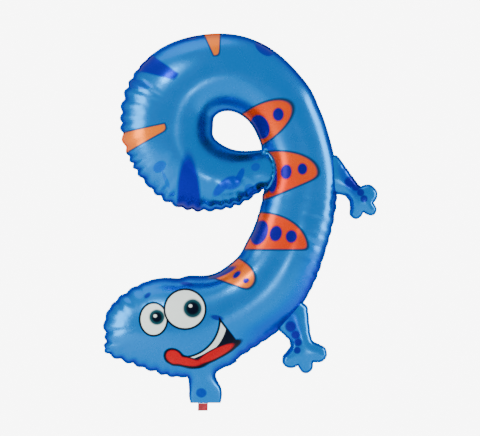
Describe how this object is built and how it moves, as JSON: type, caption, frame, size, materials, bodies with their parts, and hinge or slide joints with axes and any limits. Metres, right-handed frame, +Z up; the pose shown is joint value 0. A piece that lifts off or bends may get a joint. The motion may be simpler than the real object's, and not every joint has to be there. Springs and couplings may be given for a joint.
{
  "type": "foil number balloon",
  "caption": "Inflated foil balloon shaped as a figure nine drawn as a lizard, with two small legs, a valve neck and a valve tab.",
  "frame": {"origin": "middle of the valve neck's lower edge, where the valve comes out and the ribbon or stick is fastened", "axes": "+Z up along the figure nine, the printed front faces -Y, +X to the right of someone facing the front"},
  "size_m": [0.6571, 0.1724, 0.9063],
  "materials": {
    "blue_foil": "satin metallised film, printed",
    "seal_foil": "heat-sealed metallised film",
    "valve_film": "clear polyethylene film",
    "red_tab": "tinted polyethylene film"
  },
  "bodies": {
    "balloon": {"body_front_film": "blue_foil", "body_back_film": "blue_foil", "body_outer_seal": "seal_foil", "hole_seal": "seal_foil", "valve_front_film": "valve_film", "valve_back_film": "valve_film"},
    "upper_leg": {"upper_leg_front_film": "blue_foil", "upper_leg_back_film": "blue_foil", "upper_leg_seal": "seal_foil"},
    "lower_leg": {"lower_leg_front_film": "blue_foil", "lower_leg_back_film": "blue_foil", "lower_leg_seal": "seal_foil"},
    "valve_tab": {"tab_front_film": "red_tab", "tab_back_film": "red_tab"}
  },
  "joints": [
    {"name": "upper_leg_flex", "type": "hinge", "parent": "balloon", "child": "upper_leg", "pos_m": [0.3208, 0, 0.551], "axis": [-0.03, 0, 0.9996], "range_deg": [-30, 30], "stiffness_Nm_per_rad": 0.03},
    {"name": "lower_leg_flex", "type": "hinge", "parent": "balloon", "child": "lower_leg", "pos_m": [0.2114, 0, 0.203], "axis": [0.7071, 0, 0.7071], "range_deg": [-30, 30], "stiffness_Nm_per_rad": 0.03},
    {"name": "valve_tab_flex", "type": "hinge", "parent": "balloon", "child": "valve_tab", "pos_m": [0, 0, -0.0013], "axis": [1, 0, 0], "range_deg": [-75, 75], "stiffness_Nm_per_rad": 0.0002}
  ]
}
